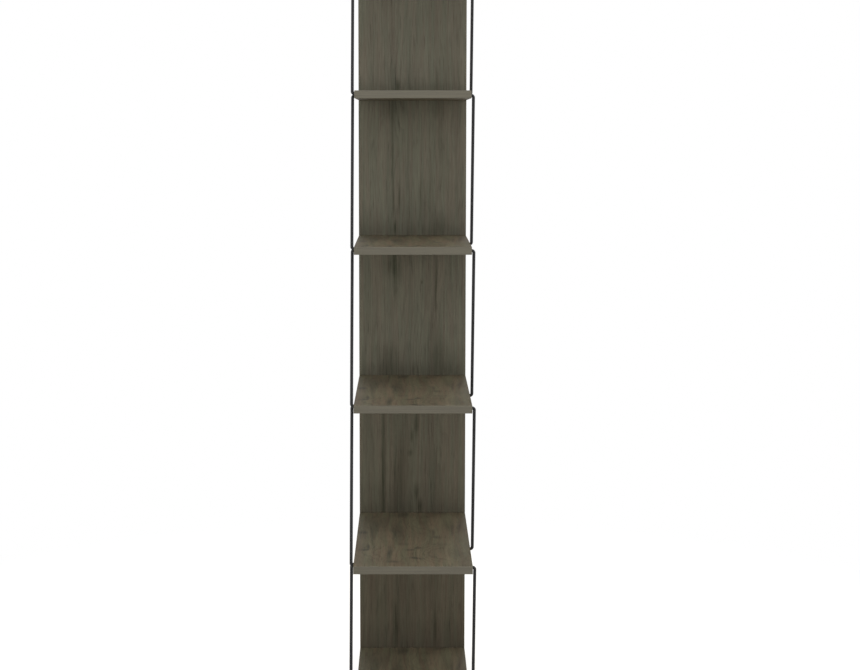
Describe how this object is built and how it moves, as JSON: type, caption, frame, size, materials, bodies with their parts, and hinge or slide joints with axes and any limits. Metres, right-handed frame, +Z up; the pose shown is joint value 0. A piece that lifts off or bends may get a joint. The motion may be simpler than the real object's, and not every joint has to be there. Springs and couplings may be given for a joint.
{
  "type": "bookcase",
  "caption": "Tall narrow open bookcase with shelves that get deeper towards the floor, a back panel in each bay and slanted bent rods at both sides.",
  "frame": {"origin": "on the floor, under the middle of the box round the whole bookcase", "axes": "+Z up, front faces -Y, +X to the right of someone who looks at the front"},
  "size_m": [0.2566, 0.531, 1.6053],
  "materials": {
    "board_decor": "grey-brown wood grain melamine, matt",
    "panel_decor": "grey-brown wood grain melamine, matt",
    "front_edging": "plain grey-brown edging strip, satin",
    "rod_black": "black powder coat, satin",
    "cam_zinc": "die-cast zinc, dull",
    "bolt_steel": "zinc-plated steel",
    "dowel_beech": "plain beech",
    "glide_plastic": "black polyethylene, matt"
  },
  "bodies": {
    "root": {"top_board": "board_decor", "front_edge_top": "front_edging", "cam_bolt_top": "bolt_steel", "dowel_left_top": "dowel_beech", "dowel_right_top": "dowel_beech", "shelf_1": "board_decor", "front_edge_1": "front_edging", "cam_bolt_1": "bolt_steel", "dowel_left_1": "dowel_beech", "dowel_right_1": "dowel_beech", "shelf_2": "board_decor", "front_edge_2": "front_edging", "cam_bolt_2": "bolt_steel", "dowel_left_2": "dowel_beech", "dowel_right_2": "dowel_beech", "shelf_3": "board_decor", "front_edge_3": "front_edging", "cam_bolt_3": "bolt_steel", "dowel_left_3": "dowel_beech", "dowel_right_3": "dowel_beech", "shelf_4": "board_decor", "front_edge_4": "front_edging", "cam_bolt_4": "bolt_steel", "dowel_left_4": "dowel_beech", "dowel_right_4": "dowel_beech", "bottom_board": "board_decor", "front_edge_bottom": "front_edging", "cam_bolt_bottom": "bolt_steel", "dowel_left_bottom": "dowel_beech", "dowel_right_bottom": "dowel_beech", "back_panel_1": "panel_decor", "cam_lower_1": "cam_zinc", "cam_upper_1": "cam_zinc", "rod_left_1": "rod_black", "rod_right_1": "rod_black", "back_panel_2": "panel_decor", "cam_lower_2": "cam_zinc", "cam_upper_2": "cam_zinc", "rod_left_2": "rod_black", "rod_right_2": "rod_black", "back_panel_3": "panel_decor", "cam_lower_3": "cam_zinc", "cam_upper_3": "cam_zinc", "rod_left_3": "rod_black", "rod_right_3": "rod_black", "back_panel_4": "panel_decor", "cam_lower_4": "cam_zinc", "cam_upper_4": "cam_zinc", "rod_left_4": "rod_black", "rod_right_4": "rod_black", "back_panel_5": "panel_decor", "cam_lower_5": "cam_zinc", "cam_upper_5": "cam_zinc", "rod_left_5": "rod_black", "rod_right_5": "rod_black", "glide_front_left": "glide_plastic", "glide_front_right": "glide_plastic", "glide_rear_left": "glide_plastic", "glide_rear_right": "glide_plastic"}
  },
  "joints": []
}
